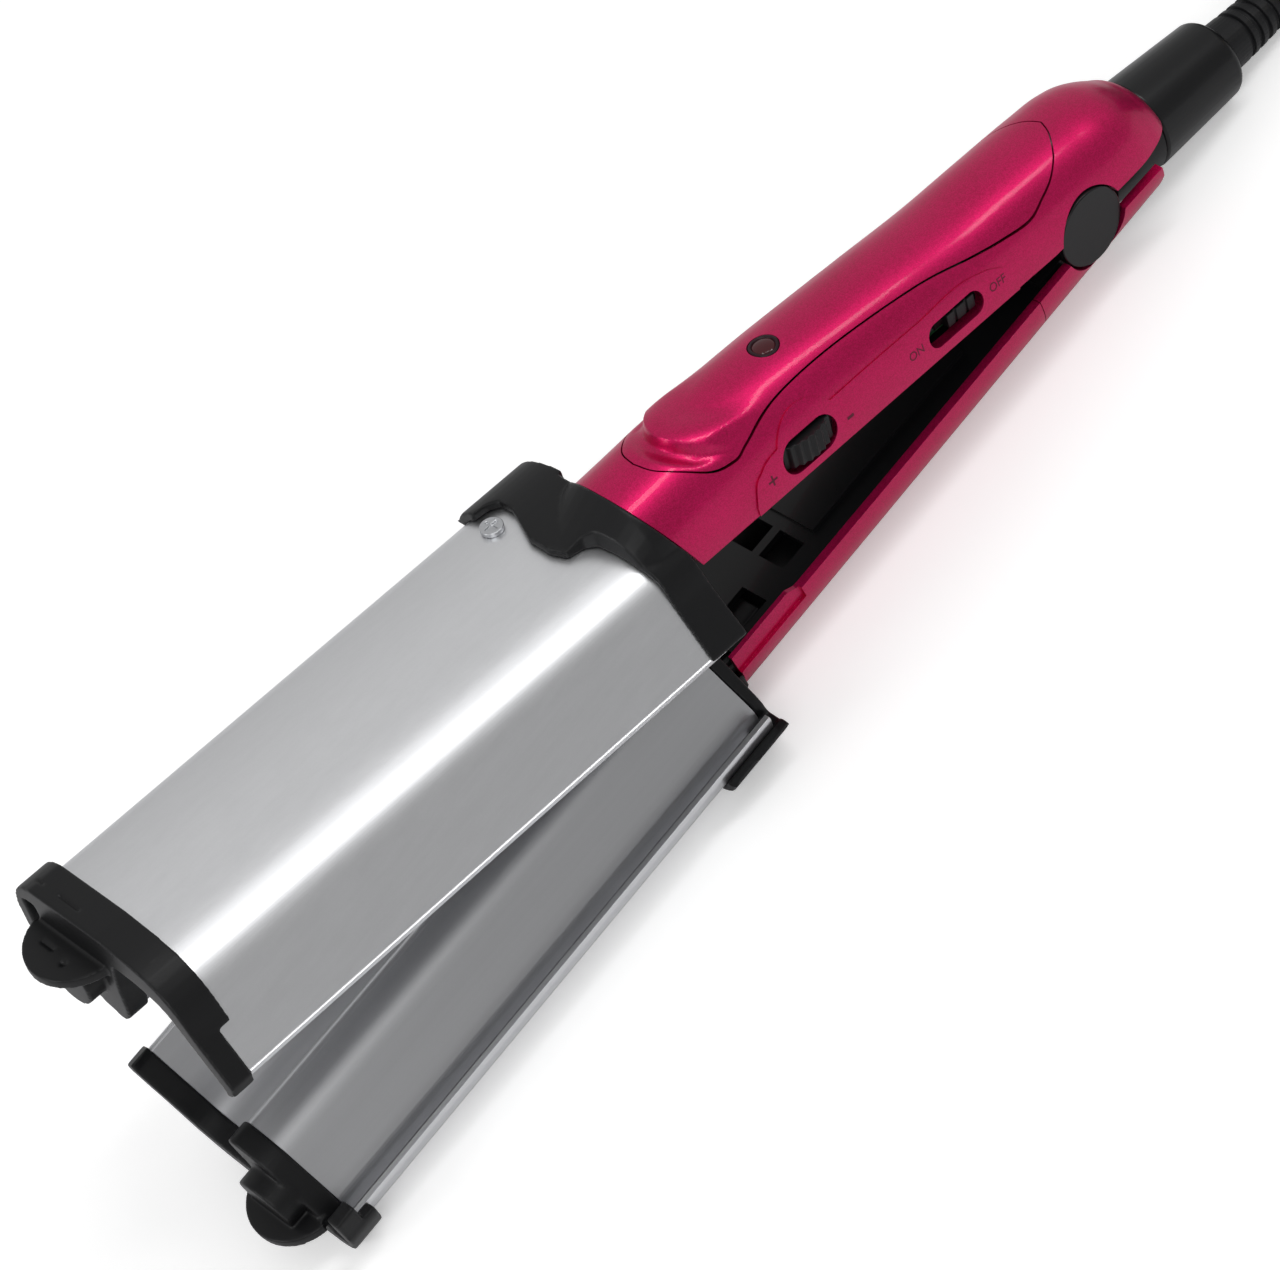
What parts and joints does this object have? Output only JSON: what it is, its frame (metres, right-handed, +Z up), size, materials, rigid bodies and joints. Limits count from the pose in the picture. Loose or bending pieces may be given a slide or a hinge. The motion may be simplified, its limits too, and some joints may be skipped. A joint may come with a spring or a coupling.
{
  "type": "hair crimper",
  "caption": "Corded deep waver with two nesting barrel-and-arch jaws, spring-opened scissor arms, heat dial and power slide.",
  "frame": {"origin": "on the surface the tool rests on, under the middle of its bounding box without the cord", "axes": "+X towards the jaws' tips, +Y to the side with the controls, +Z up"},
  "size_m": [0.4436, 0.1053, 0.0847],
  "materials": {
    "pink_lacquer": "metallic pink lacquer over moulded plastic",
    "silver_aluminium": "satin brushed outer covers",
    "plate_coating": "smooth satin heated plates",
    "black_plastic": "heat resistant black moulding",
    "gloss_black": "satin black liner and hinge caps",
    "grey_plastic": "inner moulding",
    "lamp_red": "dark red lens",
    "board_green": "circuit board",
    "steel": "plain steel",
    "ceramic": "ceramic element in its carrier",
    "brass_blade": "plug blades",
    "lead_sleeve": "silicone insulated leads",
    "cord_rubber": "black cord jacket"
  },
  "bodies": {
    "handle": {"upper_shell": "pink_lacquer", "top_cover": "pink_lacquer", "control_strip": "pink_lacquer", "indicator_lens": "lamp_red", "upper_chassis": "black_plastic", "control_board": "board_green", "dial_pot": "grey_plastic", "switch_body": "grey_plastic", "upper_collar": "black_plastic", "upper_cover_plate": "silver_aluminium", "upper_heat_plate": "plate_coating", "upper_heater": "ceramic", "upper_fuse": "steel", "upper_leads": "lead_sleeve", "upper_front_cap": "black_plastic", "upper_screw": "steel", "torsion_spring": "steel"},
    "lower_arm": {"lower_shell": "pink_lacquer", "lower_rear_cover": "pink_lacquer", "lower_liner": "gloss_black", "hinge_pin": "steel", "hinge_caps": "gloss_black", "lower_collar": "black_plastic", "lower_cover_plate": "silver_aluminium", "lower_heat_plate": "plate_coating", "lower_heater": "ceramic", "lower_leads": "lead_sleeve", "lower_front_cap": "black_plastic", "lower_screw": "steel"},
    "power_switch": {"switch_button": "black_plastic"},
    "heat_dial": {"temp_dial": "black_plastic"},
    "cord": {"cord_swivel": "black_plastic", "swivel_clip": "steel", "strain_relief": "cord_rubber", "cord_run": "cord_rubber", "cord_coil": "cord_rubber", "cord_tail": "cord_rubber", "plug_body": "cord_rubber", "plug_blades": "brass_blade"}
  },
  "joints": [
    {"name": "jaw_hinge", "type": "hinge", "parent": "handle", "child": "lower_arm", "pos_m": [-0.09115, 0, 0.02059], "axis": [0, -1, 0], "range_deg": [0, 11.1], "stiffness_Nm_per_rad": 2.5, "springref_deg": -13.75, "deforming": ["torsion_spring"]},
    {"name": "switch_slide", "type": "slide", "parent": "handle", "child": "power_switch", "axis": [0.9808, 0, 0.1949], "range_m": [0, 0.005]},
    {"name": "dial_turn", "type": "hinge", "parent": "handle", "child": "heat_dial", "pos_m": [-0.01132, 0.0054, 0.04369], "axis": [-0.1949, 0, 0.9808], "range_deg": [-135, 135]},
    {"name": "cord_swivel_turn", "type": "hinge", "parent": "handle", "child": "cord", "pos_m": [-0.1204, 0, 0.01386], "axis": [0.9808, 0, 0.1949], "continuous": true}
  ]
}
